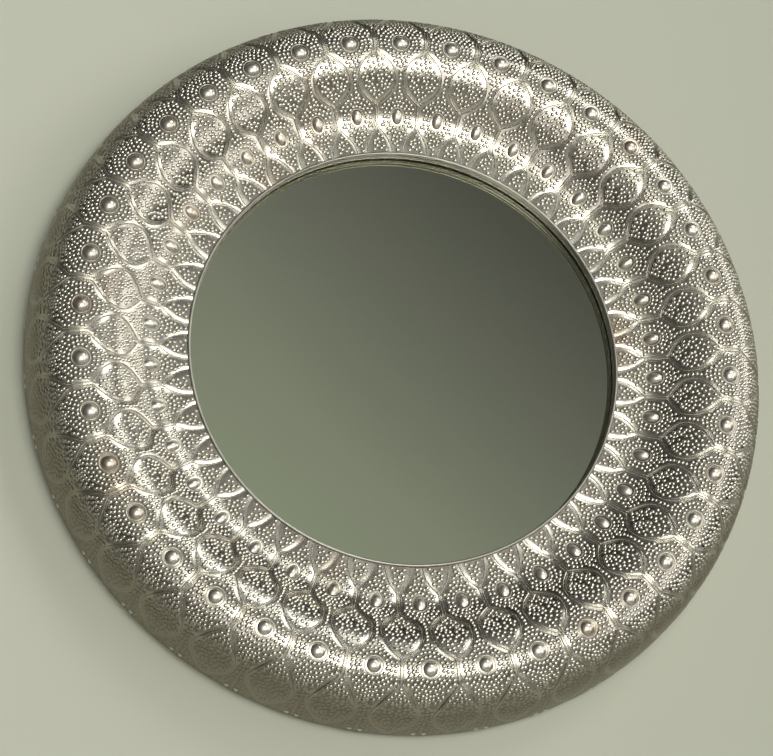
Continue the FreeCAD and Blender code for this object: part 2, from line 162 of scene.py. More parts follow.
class RidgeSettings(bpy.types.PropertyGroup):
    """Raised lines along the bands."""

    ridge_half_width: length("Ridge", 0.0007, "Half width of the main ridge")
    ridge_height: length("Ridge height", 0.0011, "Height of the main ridge")
    ridge_step: length("Ridge step", 0.001, "Distance between the points of the main ridge")
    lip_share: share("Lines at the lip", 0.55, "Size of a raised line at the lip, against its full one")
    lip_stretch: length("Lip stretch", 0.04, "Distance from the lip over which a line grows")
    rope_half_width: length("Rope", 0.00045, "Half width of the rope-like line")
    rope_height: length("Rope height", 0.00045, "Height of the rope-like line")
    rope_offset: length("Rope offset", 0.0022, "Distance from the main ridge to the rope-like line")
    rope_step: length("Rope step", 0.0008, "Half the length of one twist of the rope")
    hair_half_width: length("Fine line", 0.0003, "Half width of a fine line")
    hair_height: length("Fine line height", 0.0003, "Height of a fine line")
    hair_step: length("Fine line step", 0.002, "Distance between the points of a fine line")


class PaneSettings(bpy.types.PropertyGroup):
    """Mirror pane."""

    bevel: length("Bevel", 0.0004, "Softened edge of the pane")
    silvering: length("Silvering", 0.00008, "Thickness of the silvered layer")


class FinishSettings(bpy.types.PropertyGroup):
    """Colours of the finishes."""

    silver: colour("Silver", (0.88, 0.845, 0.76), "Bright parts of the sheet")
    # Dark colour of the sheet: tarnish in its hollows, and painted shade between the beads, beside the
    # ridges and on the flank
    patina_and_shade: colour("Patina", (0.15, 0.122, 0.085), "Tarnish in the low parts of the sheet")
    copper: colour("Copper", (0.62, 0.40, 0.26), "Worn spots where the base metal shows")
    liner: colour("Liner", (0.62, 0.60, 0.54), "Plain band round the pane")
    glass: colour("Glass", (0.98, 0.99, 0.97), "Tint of the pane")
    silvering: colour("Silvering", (0.86, 0.88, 0.71), "Reflecting layer of the pane")
    fibreboard: colour("Fibreboard", (0.36, 0.25, 0.155), "Turned core")
    birch: colour("Birch", (0.56, 0.42, 0.26), "Faces and plies of the back ring")
    card: colour("Card", (0.42, 0.31, 0.20), "Padding board")
    hardboard: colour("Hardboard", (0.21, 0.13, 0.075), "Backing board")
    cork: colour("Cork", (0.46, 0.31, 0.18), "Spacers of the pane")
    zinc: colour("Zinc", (0.62, 0.63, 0.64), "Fittings and fasteners")
    rubber: colour("Rubber", (0.035, 0.034, 0.033), "Wall bumpers")


class StageSettings(bpy.types.PropertyGroup):
    """Wall, floor, lights and camera."""

    wall: colour("Wall", (0.745, 0.775, 0.655), "Painted wall")
    floor: colour("Floor", (0.60, 0.60, 0.56), "Plain floor")
    room: colour("Room", (0.18, 0.18, 0.175), "Light from the dim room in front of the wall")
    glow: colour("Glow", (0.168, 0.19, 0.15), "Light from the brighter part of the room")
    floor_height: length("Floor height", -1.55, "Height of the floor below the mirror's middle")
    window_power: power("Window power", 10.0, "Tall window that the other lights are set against")
    lamp_distance: length("Lamp distance", 2.6, "Distance of the lights from the mirror")
    back_power: power("Back power", 34.0, "Light that shows the back of the mirror")
    lens: bpy.props.FloatProperty(
        name="Lens", default=98.4, description="Focal length of the camera", unit="CAMERA"
    )
    camera: place("Camera", (-0.3323, -1.5796, -0.5712), "Place of the camera")
    view: bpy.props.FloatVectorProperty(
        name="View",
        default=(0.18872, 0.92562, 0.32805),
        description="Direction in which the camera looks",
        subtype="DIRECTION",
    )


# Cross-section of the face
def facing(turn):
    """Direction in the cross-section: 0 faces the room, a quarter turn faces outwards."""
    return Vector((math.sin(turn), math.cos(turn)))


class Straight:
    """Straight stretch of the cross-section."""

    def __init__(self, start, end, tilt):
        self.start, self.end, self.tilt = start, end, tilt
        self.length = (end - start).length

    def at(self, part):
        return self.start.lerp(self.end, part), self.tilt


class Bend:
    """Arc of the cross-section between two facing angles; a negative radius is hollow."""

    def __init__(self, centre, radius, first, last):
        self.centre, self.radius, self.first, self.last = centre, radius, first, last
        self.length = abs(radius * (last - first))

    def at(self, part):
        tilt = self.first + (self.last - self.first) * part
        return self.centre + facing(tilt) * self.radius, tilt


class Moulding:
    """Cross-section of the embossed face, followed by the distance along it from the lip."""

    def __init__(self, size):
        run = size.crown_radius - size.lip_radius
        rise = size.crown_depth - size.lip_depth
        lip_slope = size.lip_steepness * rise / run
        cove_slope = size.cove_steepness * rise / run
        lip_tilt = -math.atan(lip_slope)
        cove_tilt = -math.atan(cove_slope)
        lip = Vector((size.lip_radius, size.lip_depth))
        brow_radius = size.brow_run * run / math.sin(-cove_tilt)
        brow_centre = Vector((size.crown_radius, size.crown_depth - brow_radius))
        brow_start = brow_centre + facing(cove_tilt) * brow_radius
        brow_run, brow_rise = brow_start - lip
        corner_run = (cove_slope * brow_run - brow_rise) / (cove_slope - lip_slope)
        corner = lip + Vector((corner_run, lip_slope * corner_run))
        tangent = size.cove_tangent * (brow_start - corner).length
        cove_radius = tangent / math.tan((lip_tilt - cove_tilt) / 2)
        cove_start = corner - (corner - lip).normalized() * tangent
        cove_centre = cove_start + facing(lip_tilt) * cove_radius
        cove_end = cove_centre - facing(cove_tilt) * cove_radius
        outer_run = size.rim_radius - size.crown_radius
        shoulder_radius = size.shoulder * outer_run
        shoulder_centre = Vector((size.crown_radius, size.crown_depth - shoulder_radius))
        drop = size.crown_depth - size.rim_depth - shoulder_radius
        excess = outer_run**2 + drop**2 - shoulder_radius**2
        flank_radius = excess / (2 * (outer_run - shoulder_radius))
        flank_centre = Vector((size.rim_radius - flank_radius, size.rim_depth))
        gap = shoulder_centre - flank_centre
        flank_tilt = math.atan2(gap.x, gap.y)
        self.cove = Bend(cove_centre, -cove_radius, lip_tilt, cove_tilt)
        self.stretches = [
            Straight(lip, cove_start, lip_tilt),
            self.cove,
            Straight(cove_end, brow_start, cove_tilt),
            Bend(brow_centre, brow_radius, cove_tilt, 0),
            Bend(shoulder_centre, shoulder_radius, 0, flank_tilt),
            Bend(flank_centre, flank_radius, flank_tilt, math.pi / 2),
        ]
        lengths = [stretch.length for stretch in self.stretches]
        self.length = sum(lengths)
        self.cove_start = lengths[0]
        self.crown = sum(lengths[:4])

    def at(self, distance):
        """Radius and depth, and the facing angle, at a distance from the lip."""
        for stretch in self.stretches[:-1]:
            if distance <= stretch.length:
                return stretch.at(distance / stretch.length)
            distance -= stretch.length
        return self.stretches[-1].at(distance / self.stretches[-1].length)


# Plain cells between the bosses, by row: half width in column pitches, reach towards the lip and
# towards the rim in metres, and roundness, where 2 is a parabola
PLAIN_CELLS = {
    1: (0.355, 0.024, 0.024, 2.0),
    3: (0.41, 0.0205, 0.025, 2.2),
    5: (0.385, 0.032, 0.03, 1.6),
}
# How softly the cells run out into the gap between two bands
NECK_SOFTNESS = 3


class Sheet:
    """Embossed face: turns a place in the pattern into a place in space."""

    def __init__(self, scene):
        self.moulding = Moulding(scene.mirror_moulding)
        self.lattice = scene.mirror_lattice
        self.pitch = FULL_TURN / self.lattice.columns
        oval = self.moulding.cove_start + self.lattice.oval_share * self.moulding.cove.length
        crown = self.moulding.crown
        outer = self.lattice.outer_row
        self.rows = [
            oval - self.lattice.inner_row,
            oval,
            (oval + crown) / 2,
            crown,
            crown + outer,
            crown + 2 * outer,
        ]

    def flatness(self, distance):
        """Height of the relief, which is full on the face and low on the flank."""
        past = distance / self.moulding.length - self.lattice.flank_start
        part = max(past / (1 - self.lattice.flank_start), 0)
        return 1 - (1 - self.lattice.flank_height) * part * part * (3 - 2 * part)

    def half_width(self, distance):
        """Half width of the cells that hold a boss, in column pitches."""
        parts = self.lattice.neck**NECK_SOFTNESS
        for row, (wide, inwards, outwards, roundness) in PLAIN_CELLS.items():
            along = distance - self.rows[row - 1]
            share_of_reach = abs(along) / (inwards if along < 0 else outwards)
            if share_of_reach < 1:
                parts += (wide * (1 - share_of_reach**roundness)) ** NECK_SOFTNESS
        return 0.5 - parts ** (1 / NECK_SOFTNESS)

    def radius(self, distance):
        return self.moulding.at(distance)[0].x

    def place(self, turn, distance, lift=0.0):
        section, tilt = self.moulding.at(distance)
        radius, depth = section + facing(tilt) * lift
        return Vector((radius * math.cos(turn), -depth, radius * math.sin(turn)))

    def frame(self, turn, distance):
        """Directions along the cross-section, round the ring and out of the sheet."""
        tilt = self.moulding.at(distance)[1]
        flat = math.cos(tilt)
        along = Vector((flat * math.cos(turn), math.sin(tilt), flat * math.sin(turn)))
        across = Vector((-math.sin(turn), 0, math.cos(turn)))
        return along, across, along.cross(across)

    def from_band(self, turn, distance):
        """Distance from the middle of the nearest band, negative in a cell with a boss."""
        width = self.radius(distance) * self.pitch
        offset = abs((turn / self.pitch + 0.5) % 1 - 0.5)
        step = MILLIMETRE / 2
        ahead = self.half_width(min(distance + step, self.moulding.length))
        behind = self.half_width(max(distance - step, 0))
        slope = (ahead - behind) * width / (2 * step)
        return (offset - self.half_width(distance)) * width / math.hypot(1, slope)

    def gather(self, turn, distance):
        """Moves an even step round the ring so that the steps gather at the bands."""
        step = turn / self.pitch * 4 * BAND_STEPS
        column = round(step / (4 * BAND_STEPS))
        past = round(step) - column * 4 * BAND_STEPS
        half = self.half_width(distance)
        share_of_way = abs(past) / BAND_STEPS - 1
        reach = half if share_of_way < 0 else 0.5 - half
        place = half + math.copysign(reach * abs(share_of_way) ** BAND_GATHER, share_of_way)
        return (column + math.copysign(place, past)) * self.pitch

    def sink(self, turn, distance):
        """How far the smooth band lies below the cells."""
        gap = self.from_band(turn, distance) / self.lattice.groove_width
        return self.lattice.groove_depth * self.flatness(distance) * math.exp(-gap * gap)


# Mesh helpers
def finish_mesh(name, mesh_builder, material, crease=0.7):
    """Object from a bmesh, smooth but for its hard edges, riding on the mirror's body."""
    for face in mesh_builder.faces:
        face.smooth = True
    for edge in mesh_builder.edges:
        if len(edge.link_faces) == 2 and edge.calc_face_angle(0) > crease:
            edge.smooth = False
    mesh = bpy.data.meshes.new(name)
    mesh_builder.to_mesh(mesh)
    mesh_builder.free()
    mesh.materials.append(material)
    piece = bpy.data.objects.new(name, mesh)
    bpy.context.scene.collection.objects.link(piece)
    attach(piece, BODY)
    return piece


def repeat_round(builder, lattice):
    """Copies one repeat of the pattern to every column and turns the first one to its place."""
    start = Matrix.Rotation(-lattice.phase, 3, AXIS)
    bmesh.ops.rotate(builder, cent=(0, 0, 0), matrix=start, verts=builder.verts)
    bmesh.ops.spin(
        builder,
        geom=builder.verts[:] + builder.edges[:] + builder.faces[:],
        cent=(0, 0, 0),
        axis=AXIS,
        angle=FULL_TURN * (lattice.columns - 1) / lattice.columns,
        steps=lattice.columns - 1,
        use_duplicate=True,
    )


def wobble(builder, lattice):
    """Moves the vertices a little, as in a sheet that was worked by hand."""
    noise.seed_set(lattice.seed)
    for vertex in builder.verts:
        shift = noise.noise_vector(vertex.co / lattice.wobble_scale)
        vertex.co += shift * lattice.wobble


def relief_layer(builder):
    """Height in the relief, from 0 in the grooves to 1 on the tops; the material lays tarnish and
    painted shade where it is low.
    """
    return builder.verts.layers.float.get("relief") or builder.verts.layers.float.new("relief")


def mark_height(builder, vertices, values):
    layer = relief_layer(builder)
    for vertex, value in zip(vertices, values):
        vertex[layer] = value


# Embossed skin: steps along its face and its rear, and steps from the middle of a cell to a band
FACE_STEPS = 84
REAR_STEPS = 28
BAND_STEPS = 5
# How closely the steps gather at a band
BAND_GATHER = 1.5
# Relief on the smooth bands, how far it falls in the cells, and on the rear of the sheet; the fall
# paints tarnish and painted shade between the beads
BAND_RELIEF = 0.5
CELL_FALL = 0.28
REAR_RELIEF = 0.3
# Where the relief falls, as a share of the width of the bare band, and how sharply
CELL_EDGE = 0.8
CELL_SHARPNESS = 12


def build_skin(scene):
    sheet = Sheet(scene)
    size = scene.mirror_moulding
    builder = bmesh.new()
    station = builder.verts.layers.float.new("station")
    relief = relief_layer(builder)
    outside = builder.verts.layers.int.new("outside")
    moulding, lattice = sheet.moulding, sheet.lattice
    face = [moulding.length * i / FACE_STEPS for i in range(FACE_STEPS + 1)]
    rear = [moulding.length * i / REAR_STEPS for i in range(REAR_STEPS, -1, -1)]
    hem_rear = size.rim_depth - size.sheet
    hem_end = size.rim_radius - size.hem
    corners = [(size.rim_radius, hem_rear), (hem_end, hem_rear), (hem_end, size.rim_depth)]
    ring = []
    for distance in face:
        ring.append(builder.verts.new(sheet.place(0, distance)))
        ring[-1][outside] = 1
        ring[-1][station] = distance
    for radius, depth in corners:
        ring.append(builder.verts.new((radius, -depth, 0)))
        ring[-1][station] = moulding.length
    for distance in rear:
        ring.append(builder.verts.new(sheet.place(0, distance, -size.sheet)))
        ring[-1][station] = distance
    edges = [builder.edges.new(pair) for pair in zip(ring, ring[1:] + ring[:1])]
    bmesh.ops.spin(
        builder,
        geom=ring + edges,
        cent=(0, 0, 0),
        axis=AXIS,
        angle=-sheet.pitch,
        steps=4 * BAND_STEPS,
    )
    for vertex in builder.verts:
        distance = vertex[station]
        across = math.hypot(vertex.co.x, vertex.co.z)
        turn = sheet.gather(math.atan2(vertex.co.z, vertex.co.x), distance)
        if vertex[outside]:
            vertex.co = sheet.place(turn, distance, -sheet.sink(turn, distance))
            gap = sheet.from_band(turn, distance)
            clear = scene.mirror_beads.plain_clear if gap > 0 else scene.mirror_beads.boss_clear
            in_cell = 1 / (1 + math.exp((CELL_EDGE - abs(gap) / clear) * CELL_SHARPNESS))
            vertex[relief] = BAND_RELIEF - CELL_FALL * in_cell
        else:
            vertex.co = (across * math.cos(turn), vertex.co.y, across * math.sin(turn))
            vertex[relief] = REAR_RELIEF
    repeat_round(builder, lattice)
    bmesh.ops.remove_doubles(builder, verts=builder.verts, dist=MILLIMETRE / 100)
    bmesh.ops.recalc_face_normals(builder, faces=builder.faces)
    wobble(builder, lattice)
    return finish_mesh("embossed_skin", builder, sheet_metal(scene))


class MIRROR_OT_skin(bpy.types.Operator):
    """Add the embossed sheet with its grooves and its hem."""

    bl_idname = "wall_mirror.skin"
    bl_label = "Embossed Skin"

    def execute(self, context):
        piece = build_skin(context.scene)
        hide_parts("embossed_cover")
        return {"FINISHED"}


# Beads: the part of a sphere that a bead shows, and how deep its foot lies in the sheet
DOME_REACH = math.radians(58)
FOOT_SINK = 0.12
BEAD_SIDES = 8
BEAD_RINGS = 9
# Bare strip along the lip and the rim
BARE_EDGE = 1.4 * MILLIMETRE
# How near two beads may come, against the pitch: in rings and files, then in two rounds of scatter
RING_CLOSENESS = 0.86
SCATTER_CLOSENESS = (0.9, 0.8)
# How often a place for a scattered bead is tried
SCATTER_TRIES = 9000
BEAD_RINGS_ROUND_BOSS = 3
# Clear width round an oval boss, against the first ring of beads
OVAL_CLEAR = 0.8
# Edges sharper than this on a bead, a boss or a ridge are hard, in radians
HARD_EDGE = 1.3


def bead_template(beads):
    """Small dome on the plane z = 0, with a closed foot a little below it."""
    builder = bmesh.new()
    bmesh.ops.create_uvsphere(builder, u_segments=BEAD_SIDES, v_segments=BEAD_RINGS, radius=1)
    foot = math.cos(DOME_REACH)
    everything = builder.verts[:] + builder.edges[:] + builder.faces[:]
    bmesh.ops.bisect_plane(
        builder, geom=everything, plane_co=(0, 0, foot), plane_no=(0, 0, 1), clear_inner=True
    )
    rim = [edge for edge in builder.edges if edge.is_boundary]
    bmesh.ops.holes_fill(builder, edges=rim, sides=0)
    bmesh.ops.translate(builder, vec=(0, 0, -foot), verts=builder.verts)
    wide, tall = beads.radius / math.sin(DOME_REACH), beads.height / (1 - foot)
    # Relief from 0 at the foot to 1 at the top, which paints tarnish and painted shade at the foot of
    # each bead
    mark_height(builder, builder.verts, [vertex.co.z / (1 - foot) for vertex in builder.verts])
    bmesh.ops.scale(builder, vec=(wide, wide, tall), verts=builder.verts)
    bmesh.ops.translate(builder, vec=(0, 0, -beads.height * FOOT_SINK), verts=builder.verts)
    mesh = bpy.data.meshes.new("bead")
    builder.to_mesh(mesh)
    builder.free()
    return mesh


class BeadSpots:
    """Places of the beads of one row of cells in one repeat of the pattern."""

    def __init__(self, sheet, beads, row):
        self.sheet, self.beads, self.row = sheet, beads, row
        self.centre = sheet.rows[row - 1]
        self.turn = 0 if row % 2 == 0 else sheet.pitch / 2
        self.clear = beads.boss_clear if row % 2 == 0 else beads.plain_clear
        end = sheet.moulding.length - BARE_EDGE
        self.first = max(sheet.rows[row - 2], BARE_EDGE) if row > 1 else BARE_EDGE
        self.last = min(sheet.rows[row], end) if row < len(sheet.rows) else end
        self.spots = []

    def offer(self, along, across, closeness=RING_CLOSENESS):
        """Takes a place unless it lies on a band, outside the sheet or too near another."""
        distance = self.centre + along
        if not self.first < distance < self.last:
            return
        turn = self.turn + across / self.sheet.radius(distance)
        if abs(turn - self.turn) > self.sheet.pitch / 2:
            return
        gap = self.sheet.from_band(turn, distance)
        if (-gap if self.row % 2 == 0 else gap) < self.clear:
            return
        near = self.beads.pitch * closeness
        for other_along, other_across in self.spots:
            if math.hypot(other_along - along, other_across - across) < near:
                return
        self.spots.append((along, across))

    def rings(self, half_length, half_width):
        """Rings of beads round a boss."""
        for ring in range(BEAD_RINGS_ROUND_BOSS):
            grow = self.beads.pitch * ring
            long, wide = half_length + grow, half_width + grow
            number = round(math.pi * (long + wide) / self.beads.pitch)
            for bead in range(number):
                turn = FULL_TURN * (bead + 0.5 * (ring % 2)) / number
                self.offer(long * math.cos(turn), wide * math.sin(turn))

    def column(self, reach):
        """Single file of beads through the necks of the cells."""
        steps = int(reach / self.beads.pitch)
        for step in range(-steps, steps + 1):
            self.offer(step * self.beads.pitch, 0)

    def scatter(self, reach, closeness):
        """Beads that fill what is left, as close together as hand work sets them."""
        chance = random.Random(self.beads.seed * self.row)
        for _ in range(SCATTER_TRIES):
            self.offer(chance.uniform(-reach, reach), chance.uniform(-reach, reach), closeness)


def bead_spots(sheet, beads, bosses, row):
    spots = BeadSpots(sheet, beads, row)
    first = bosses.moat + beads.radius
    if row == 2:
        spots.rings(bosses.oval_half_length + first, bosses.oval_half_width + first)
    elif row == 4:
        ring_radius = bosses.round_radius + first + MILLIMETRE
        spots.rings(ring_radius, ring_radius)
    reach = sheet.lattice.outer_row
    if row % 2 == 0:
        spots.column(reach)
    for closeness in SCATTER_CLOSENESS:
        spots.scatter(reach, closeness)
    if row == 2:
        clear = first * OVAL_CLEAR
        wide, long = bosses.oval_half_width + clear, bosses.oval_half_length + clear
    elif row == 4:
        wide = long = bosses.round_radius + first
    else:
        return spots
    spots.spots = [spot for spot in spots.spots if math.hypot(spot[0] / long, spot[1] / wide) > 1]
    return spots


def build_beads(scene, row):
    sheet = Sheet(scene)
    beads = scene.mirror_beads
    spots = bead_spots(sheet, beads, scene.mirror_bosses, row)
    template = bead_template(beads)
    chance = random.Random(beads.seed + row)
    builder = bmesh.new()
    relief_layer(builder)
    for along, across in spots.spots:
        shift = beads.pitch * beads.spread
        distance = spots.centre + along + chance.uniform(-shift, shift)
        turn = spots.turn + (across + chance.uniform(-shift, shift)) / sheet.radius(distance)
        axes = Matrix(sheet.frame(turn, distance)).transposed()
        size = 1 + chance.uniform(-beads.spread, beads.spread)
        stretch = Vector((size, size, size * sheet.flatness(distance)))
        lift = -sheet.sink(turn, distance)
        matrix = Matrix.LocRotScale(sheet.place(turn, distance, lift), axes, stretch)
        copy = template.copy()
        copy.transform(matrix)
        builder.from_mesh(copy)
        bpy.data.meshes.remove(copy)
    bpy.data.meshes.remove(template)
    repeat_round(builder, sheet.lattice)
    wobble(builder, sheet.lattice)
    return finish_mesh("beads_row_%d" % row, builder, sheet_metal(scene), HARD_EDGE)


class MIRROR_OT_beads(bpy.types.Operator):
    """Add the small domes that fill the cells of the pattern."""

    bl_idname = "wall_mirror.beads"
    bl_label = "Beads"

    def execute(self, context):
        for row in range(1, 7):
            build_beads(context.scene, row)
        return {"FINISHED"}


# Bosses: steps from the top of a dome to its foot, how flat its top is, and how deep its foot lies
DOME_STEPS = 8
DOME_FLATNESS = 2.6
DOME_FOOT = 0.0003
BOSS_SIDES = 24
# Raised edge of the moat, its shoulders, and how deep a boss reaches into the sheet
EDGE_HEIGHT = 0.00035
SHOULDER_HEIGHT = 0.0002
BOSS_DEPTH = 0.0007
# Relief on the flat parts of a boss, which lays tarnish and painted shade in its moat
FLAT_RELIEF = 0.25


def wrap(sheet, builder, turn, distance):
    """Lays a flat shape on the sheet: x runs along the cross-section, y round the ring."""
    radius = sheet.radius(distance)
    for vertex in builder.verts:
        along, across, lift = vertex.co
        vertex.co = sheet.place(turn + across / radius, distance + along, lift)


def build_bosses(scene, name, row, half_length, half_width):
    """Ring of bosses, each a dome in a smooth moat with a raised edge."""
    sheet = Sheet(scene)
    bosses = scene.mirror_bosses
    height, moat = bosses.height, bosses.moat
    edge = half_width
    section = []
    for step in range(DOME_STEPS + 1):
        part = step / DOME_STEPS
        section.append((edge * part, height * (1 - part**DOME_FLATNESS) - DOME_FOOT * part))
    section += [
        (edge + 0.4 * moat, -DOME_FOOT),
        (edge + 0.7 * moat, SHOULDER_HEIGHT),
        (edge + 1.0 * moat, EDGE_HEIGHT),
        (edge + 1.3 * moat, SHOULDER_HEIGHT),
        (edge + 1.5 * moat, -BOSS_DEPTH),
        (0, -BOSS_DEPTH),
    ]
    builder = bmesh.new()
    points = [builder.verts.new((radius, 0, lift)) for radius, lift in section]
    lines = [builder.edges.new(pair) for pair in zip(points, points[1:])]
    bmesh.ops.spin(
        builder,
        geom=points + lines,
        cent=(0, 0, 0),
        axis=(0, 0, 1),
        angle=FULL_TURN,
        steps=BOSS_SIDES,
        use_merge=True,
    )
    bmesh.ops.remove_doubles(builder, verts=builder.verts, dist=MILLIMETRE / 100)
    bmesh.ops.recalc_face_normals(builder, faces=builder.faces)
    tall = (1 - FLAT_RELIEF) / height
    heights = [FLAT_RELIEF + tall * max(vertex.co.z, 0) for vertex in builder.verts]
    mark_height(builder, builder.verts, heights)
    stretch = half_length - half_width
    for vertex in builder.verts:
        flat = math.hypot(vertex.co.x, vertex.co.y)
        if flat > 0:
            vertex.co.x *= 1 + stretch / half_width * min(half_width / flat, 1)
    wrap(sheet, builder, 0, sheet.rows[row - 1])
    repeat_round(builder, sheet.lattice)
    return finish_mesh(name, builder, boss_metal(scene), HARD_EDGE)


class MIRROR_OT_bosses(bpy.types.Operator):
    """Add the two rings of bosses."""

    bl_idname = "wall_mirror.bosses"
    bl_label = "Bosses"

    def execute(self, context):
        bosses = context.scene.mirror_bosses
        radius = bosses.round_radius
        build_bosses(context.scene, "round_bosses", 4, radius, radius)
        long, wide = bosses.oval_half_length, bosses.oval_half_width
        build_bosses(context.scene, "oval_bosses", 2, long, wide)
        return {"FINISHED"}


# Ridges: steps in which a band is measured
PATH_STEPS = 1500
# Section of a raised line: places across it against its half width, and heights against its own
LINE_SECTION = [(-1.0, -0.5), (-0.66, 0.6), (0.0, 1.0), (0.66, 0.6), (1.0, -0.5), (-1.0, -0.5)]
# Share of a narrow neck that a line may move aside
NECK_ROOM = 0.8
# Height of a rope between its twists, against its full height
ROPE_DIP = 0.6
# Fine lines beside the bands in metres, and the stretches of the face that they take up
INNER_LINES = [-0.0016, 0.0012]
INNER_STRETCH = (0.011, 0.071)
OUTER_LINES = [-0.0022, -0.0013, 0.0012, 0.0034]
OUTER_STRETCH = (0.074, 1)


def band_path(sheet, step):
    """Evenly spaced places along the middle of a band, from the lip to the rim."""
    places, total = [], 0.0
    last = None
    for index in range(PATH_STEPS + 1):
        distance = sheet.moulding.length * index / PATH_STEPS
        half = sheet.half_width(distance)
        point = sheet.place(half * sheet.pitch, distance)
        if last is not None:
            total += (point - last).length
        last = point
        if not places or total >= step:
            places.append((half * sheet.pitch, distance))
            total = 0.0
    return places


def sweep(builder, sheet, ridges, path, half_width, offset, height):
    """Raised line along a path: height gives its height at each step."""
    layer = relief_layer(builder)
    grid = bmesh.ops.create_grid(
        builder, x_segments=len(path) - 1, y_segments=len(LINE_SECTION) - 1, size=0.5
    )
    points = [sheet.place(*place) for place in path]
    for vertex in grid["verts"]:
        step = round((vertex.co.x + 0.5) * (len(path) - 1))
        across, lift = LINE_SECTION[round((vertex.co.y + 0.5) * (len(LINE_SECTION) - 1))]
        turn, distance = path[step]
        ahead = points[min(step + 1, len(points) - 1)] - points[max(step - 1, 0)]
        outwards = sheet.frame(turn, distance)[2]
        sideways = ahead.cross(outwards).normalized()
        width = sheet.radius(distance)
        room = width * (sheet.pitch / 2 - abs(turn)) if offset > 0 else width * abs(turn)
        aside = math.copysign(min(abs(offset), room * NECK_ROOM), offset) * (1 if turn > 0 else -1)
        grown = min(distance / ridges.lip_stretch, 1)
        size = ridges.lip_share + (1 - ridges.lip_share) * grown
        tall = height(step) * sheet.flatness(distance) * size
        base = points[step] - outwards * sheet.lattice.groove_depth
        vertex.co = base + sideways * (across * half_width * size - aside) + outwards * lift * tall
        # Relief from the foot of the line to its top: the foot gets tarnish and painted shade beside
        # the line
        vertex[layer] = max(lift, 0)
    bmesh.ops.remove_doubles(builder, verts=grid["verts"], dist=MILLIMETRE / 1000)


def build_ridges(scene, name, step, half_width, offsets, height, stretch=(0, 1)):
    """Raised lines beside every band, over a stretch of the face in metres from the lip."""
    sheet = Sheet(scene)
    builder = bmesh.new()
    path = [spot for spot in band_path(sheet, step) if stretch[0] <= spot[1] <= stretch[1]]
    for side in (-1, 1):
        for offset in offsets:
            line = [(side * turn, distance) for turn, distance in path]
            sweep(builder, sheet, scene.mirror_ridges, line, half_width, offset, height)
    ends = [edge for edge in builder.edges if edge.is_boundary]
    bmesh.ops.holes_fill(builder, edges=ends, sides=0)
    bmesh.ops.recalc_face_normals(builder, faces=builder.faces)
    repeat_round(builder, sheet.lattice)
    wobble(builder, sheet.lattice)
    return finish_mesh(name, builder, sheet_metal(scene), HARD_EDGE)


class MIRROR_OT_ridges(bpy.types.Operator):
    """Add the plain and the rope-like raised lines along the bands."""

    bl_idname = "wall_mirror.ridges"
    bl_label = "Ridges"

    def execute(self, context):
        scene, ridges = context.scene, context.scene.mirror_ridges

        def ridge_height(step):
            return ridges.ridge_height

        def rope_height(step):
            return ridges.rope_height * (1 if step % 2 else ROPE_DIP)

        def hair_height(step):
            return ridges.hair_height

        step, wide = ridges.ridge_step, ridges.ridge_half_width
        build_ridges(scene, "band_ridges", step, wide, [0], ridge_height)
        step, wide = ridges.rope_step, ridges.rope_half_width
        build_ridges(scene, "band_ropes", step, wide, [ridges.rope_offset], rope_height)
        step, wide = ridges.hair_step, ridges.hair_half_width
        build_ridges(scene, "inner_lines", step, wide, INNER_LINES, hair_height, INNER_STRETCH)
        build_ridges(scene, "outer_lines", step, wide, OUTER_LINES, hair_height, OUTER_STRETCH)
        return {"FINISHED"}


# Pane
PANE_SIDES = 192


def flat_disc(radius, rear, front, bevel):
    """Closed disc between two depths, facing the room."""
    builder = bmesh.new()
    bmesh.ops.create_cone(
        builder,
        cap_ends=True,
        segments=PANE_SIDES,
        radius1=radius,
        radius2=radius,
        depth=front - rear,
    )
    if bevel:
        rims = [
            edge
            for edge in builder.edges
            if abs(edge.verts[0].co.z - edge.verts[1].co.z) < bevel / 2
        ]
        bmesh.ops.bevel(
            builder,
            geom=rims,
            offset=bevel,
            offset_type="OFFSET",
            segments=2,
            profile=0.5,
            affect="EDGES",
            material=-1,
        )
    matrix = Matrix.Translation((0, -(front + rear) / 2, 0)) @ Matrix.Rotation(math.pi / 2, 4, "X")
    bmesh.ops.transform(builder, matrix=matrix, verts=builder.verts)
    return builder


class MIRROR_OT_pane(bpy.types.Operator):
    """Add the glass of the pane and its silvering."""

    bl_idname = "wall_mirror.pane"
    bl_label = "Pane"

    def execute(self, context):
        pane = context.scene.mirror_pane
        low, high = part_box("mirror_glass")
        rear, front, radius = -high.y, -low.y, high.x
        gap = pane.silvering / 4
        glass = flat_disc(radius, rear + pane.silvering + gap, front, pane.bevel)
        glass = finish_mesh("pane_glass", glass, clear_glass(context.scene), 0.1)
        silvering = flat_disc(radius - pane.bevel, rear, rear + pane.silvering, 0)
        finish_mesh("pane_silvering", silvering, mirror_silver(context.scene), 0.5)
        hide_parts("mirror_glass")
        return {"FINISHED"}


# Materials
class Value:
    """Output of a material node; sums and products with it add Math nodes."""

    def __init__(self, shader, socket):
        self.shader, self.socket = shader, socket

    def combine(self, operation, *others):
        inputs = {index: other for index, other in enumerate((self, *others))}
        return self.shader.add("ShaderNodeMath", {"operation": operation}, inputs)

    def __add__(self, other):
        return self.combine("ADD", other)

    __radd__ = __add__

    def __sub__(self, other):
        return self.combine("SUBTRACT", other)

    def __rsub__(self, other):
        return self.shader.add("ShaderNodeMath", {"operation": "SUBTRACT"}, {0: other, 1: self})

    def __mul__(self, other):
        return self.combine("MULTIPLY", other)

    __rmul__ = __mul__

    def __pow__(self, other):
        return self.combine("POWER", other)

    def held(self):
        """The value kept between 0 and 1."""
        return self.shader.add(
            "ShaderNodeMath", {"operation": "ADD", "use_clamp": True}, {0: self, 1: 0.0}
        )


